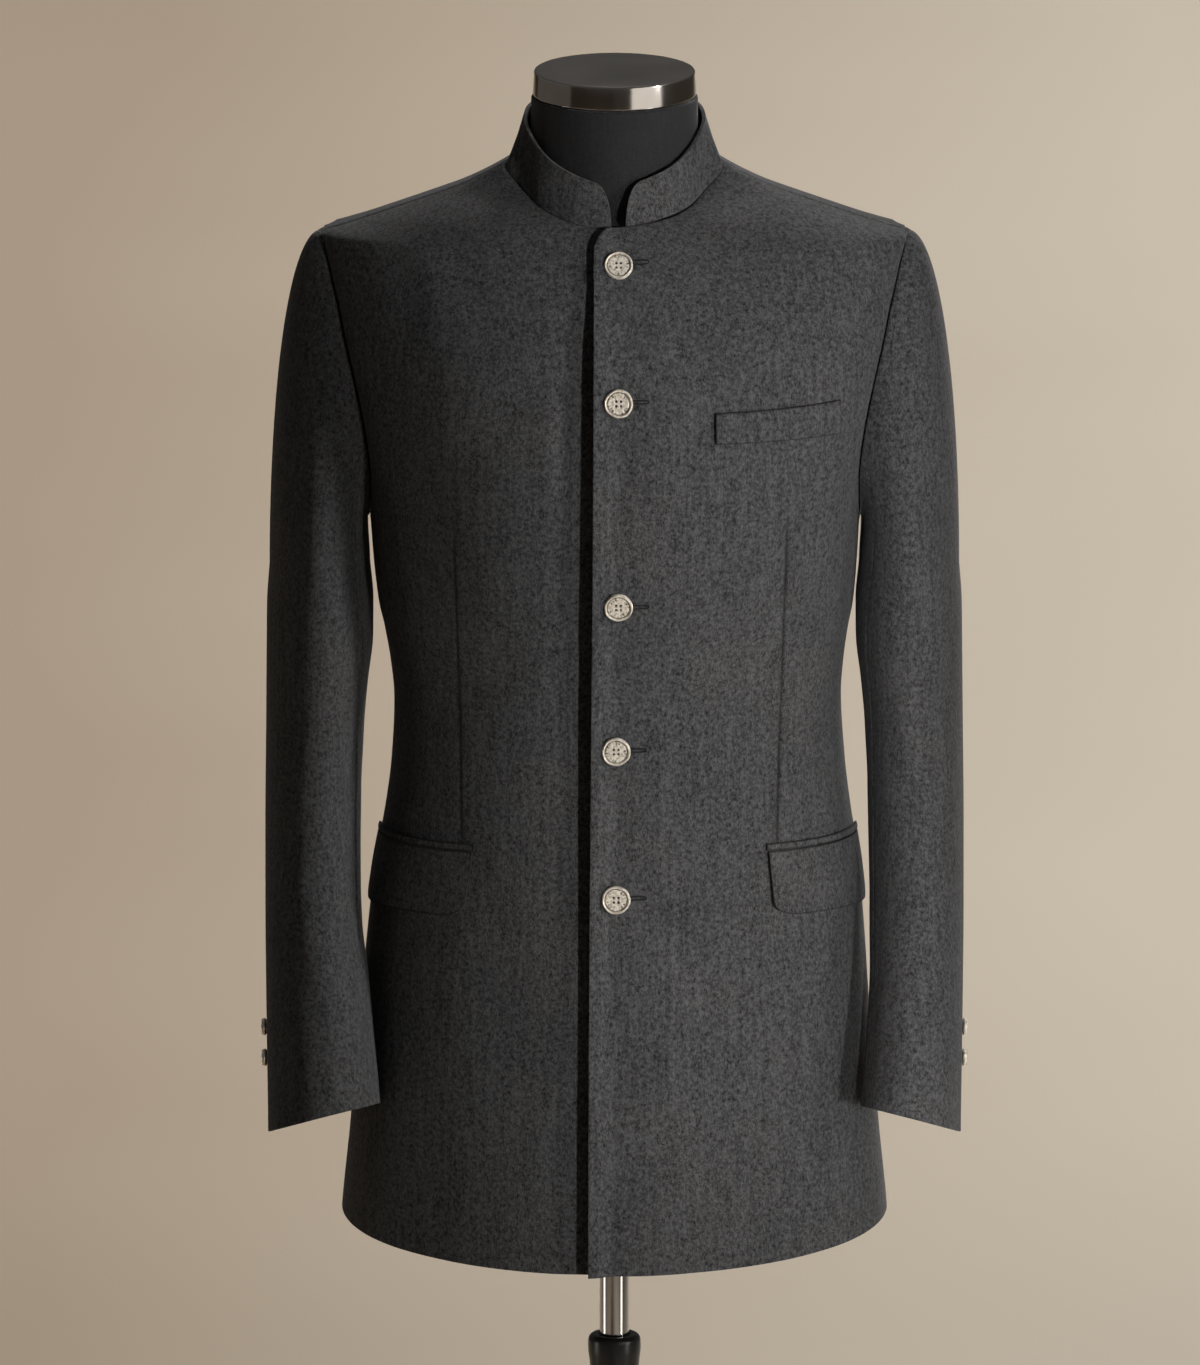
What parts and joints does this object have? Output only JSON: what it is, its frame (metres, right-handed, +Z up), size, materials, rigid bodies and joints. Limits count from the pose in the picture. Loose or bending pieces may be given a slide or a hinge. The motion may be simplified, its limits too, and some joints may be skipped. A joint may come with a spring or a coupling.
{
  "type": "bandhgala jacket on a dress form stand",
  "caption": "Fitted hip-length jacket with a stand collar, overlapping buttoned front and flap pockets, resting on a limbless dress form on a round-based stand.",
  "frame": {"origin": "centre of the stand's base, on the floor it rests on", "axes": "+Z up, the jacket's front faces -Y, the wearer's left is +X"},
  "size_m": [0.5262, 0.37, 1.4859],
  "materials": {
    "wool": "fine charcoal woollen suiting, lightly heathered, dull with a soft nap",
    "button_metal": "antique silver plating with a worn raised rim",
    "form_cover": "tight black jersey",
    "cap_metal": "satin top with a polished rim",
    "pole_chrome": "polished",
    "clamp_black": "smooth black moulding",
    "stand_black": "satin black powder coat"
  },
  "bodies": {
    "root": {"front_left": "wool", "front_right": "wool", "back_left": "wool", "back_right": "wool", "collar": "wool", "sleeve_top_left": "wool", "sleeve_top_right": "wool", "sleeve_under_left": "wool", "sleeve_under_right": "wool", "pocket_flap_left": "wool", "pocket_flap_right": "wool", "pocket_jetting_left": "wool", "pocket_jetting_right": "wool", "chest_welt": "wool", "front_button_1": "button_metal", "front_button_2": "button_metal", "front_button_3": "button_metal", "front_button_4": "button_metal", "front_button_5": "button_metal", "cuff_button_left_1": "button_metal", "cuff_button_left_2": "button_metal", "cuff_button_right_1": "button_metal", "cuff_button_right_2": "button_metal", "dress_form": "form_cover", "neck_cap": "cap_metal", "pole": "pole_chrome", "pole_clamp": "clamp_black", "column": "stand_black", "base": "stand_black"}
  },
  "joints": []
}
